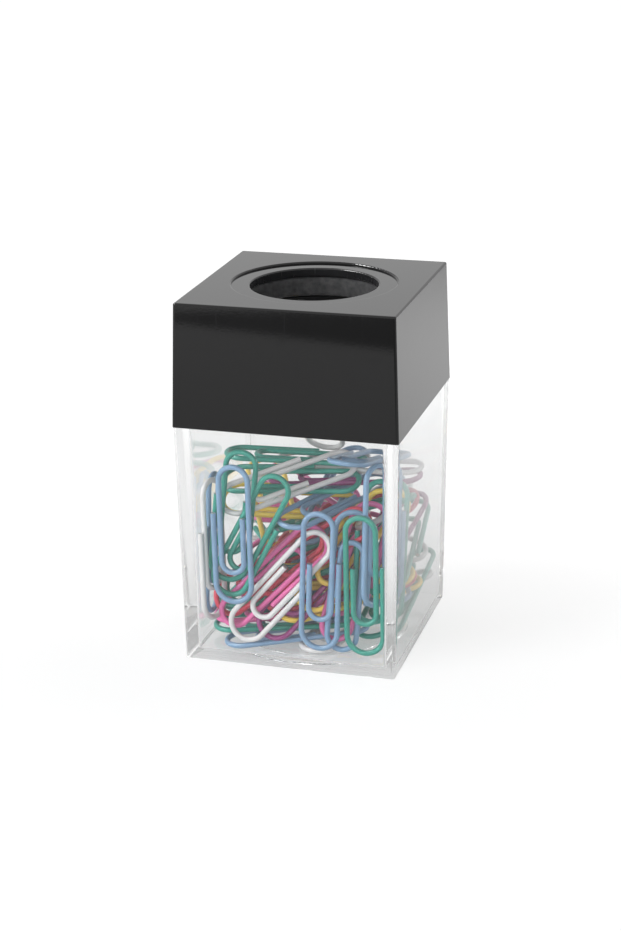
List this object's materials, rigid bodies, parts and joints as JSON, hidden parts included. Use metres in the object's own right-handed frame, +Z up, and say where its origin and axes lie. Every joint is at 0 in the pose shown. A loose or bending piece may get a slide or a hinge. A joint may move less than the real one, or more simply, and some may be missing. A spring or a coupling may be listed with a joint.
{
  "type": "magnetic paper clip holder",
  "caption": "Square clear plastic box of coloured wire paper clips under a black slip-on cap, with a ring magnet below the cap's round mouth.",
  "frame": {"origin": "middle of the base, on the surface it stands on", "axes": "+Z up along the box, front face towards -Y, +X to the right seen from the front"},
  "size_m": [0.0428, 0.0428, 0.07],
  "materials": {
    "clear_plastic": "clear, polished, moulded",
    "black_plastic": "black, semi-gloss, moulded",
    "retainer_plastic": "black, matt",
    "ferrite": "dark grey sintered ferrite, matt",
    "vinyl_blue": "blue vinyl coat on steel wire, smooth",
    "vinyl_green": "green vinyl coat on steel wire, smooth",
    "vinyl_white": "white vinyl coat on steel wire, smooth",
    "vinyl_pink": "pink vinyl coat on steel wire, smooth",
    "vinyl_red": "red vinyl coat on steel wire, smooth",
    "vinyl_yellow": "yellow vinyl coat on steel wire, smooth",
    "vinyl_purple": "purple vinyl coat on steel wire, smooth"
  },
  "bodies": {
    "holder": {"blue_clip_corner": "vinyl_blue", "blue_clip_floor": "vinyl_blue", "blue_clip_left": "vinyl_blue", "blue_clip_middle": "vinyl_blue", "blue_clip_right": "vinyl_blue", "blue_clip_side": "vinyl_blue", "blue_clip_top": "vinyl_blue", "blue_clips_heap": "vinyl_blue", "clear_box": "clear_plastic", "green_clip_back_right": "vinyl_green", "green_clip_diagonal": "vinyl_green", "green_clip_low": "vinyl_green", "green_clip_low_right": "vinyl_green", "green_clip_lowest": "vinyl_green", "green_clip_right": "vinyl_green", "green_clip_top_back": "vinyl_green", "green_clip_top_front": "vinyl_green", "green_clip_top_left": "vinyl_green", "green_clips_heap": "vinyl_green", "pink_clip_diagonal": "vinyl_pink", "pink_clip_low": "vinyl_pink", "pink_clip_middle": "vinyl_pink", "pink_clips_heap": "vinyl_pink", "purple_clip_middle": "vinyl_purple", "purple_clip_top": "vinyl_purple", "purple_clips_heap": "vinyl_purple", "red_clip_low": "vinyl_red", "red_clip_lower": "vinyl_red", "red_clip_upper": "vinyl_red", "red_clips_heap": "vinyl_red", "white_clip_centre": "vinyl_white", "white_clip_floor": "vinyl_white", "white_clip_left": "vinyl_white", "white_clip_top": "vinyl_white", "white_clip_top_right": "vinyl_white", "white_clips_heap": "vinyl_white", "yellow_clip_floor": "vinyl_yellow", "yellow_clip_low": "vinyl_yellow", "yellow_clip_right": "vinyl_yellow", "yellow_clip_top_left": "vinyl_yellow", "yellow_clips_heap": "vinyl_yellow"},
    "lid": {"cap": "black_plastic", "ring_magnet": "ferrite", "magnet_retainer": "retainer_plastic"},
    "drawn_clip": {"white_clip_drawn": "vinyl_white"}
  },
  "joints": [
    {"name": "cap_lift", "type": "slide", "parent": "holder", "child": "lid", "axis": [0, 0, 1], "range_m": [0, 0.03]},
    {"name": "clip_draw", "type": "slide", "parent": "holder", "child": "drawn_clip", "axis": [0, 0, 1], "range_m": [0, 0.04]}
  ]
}
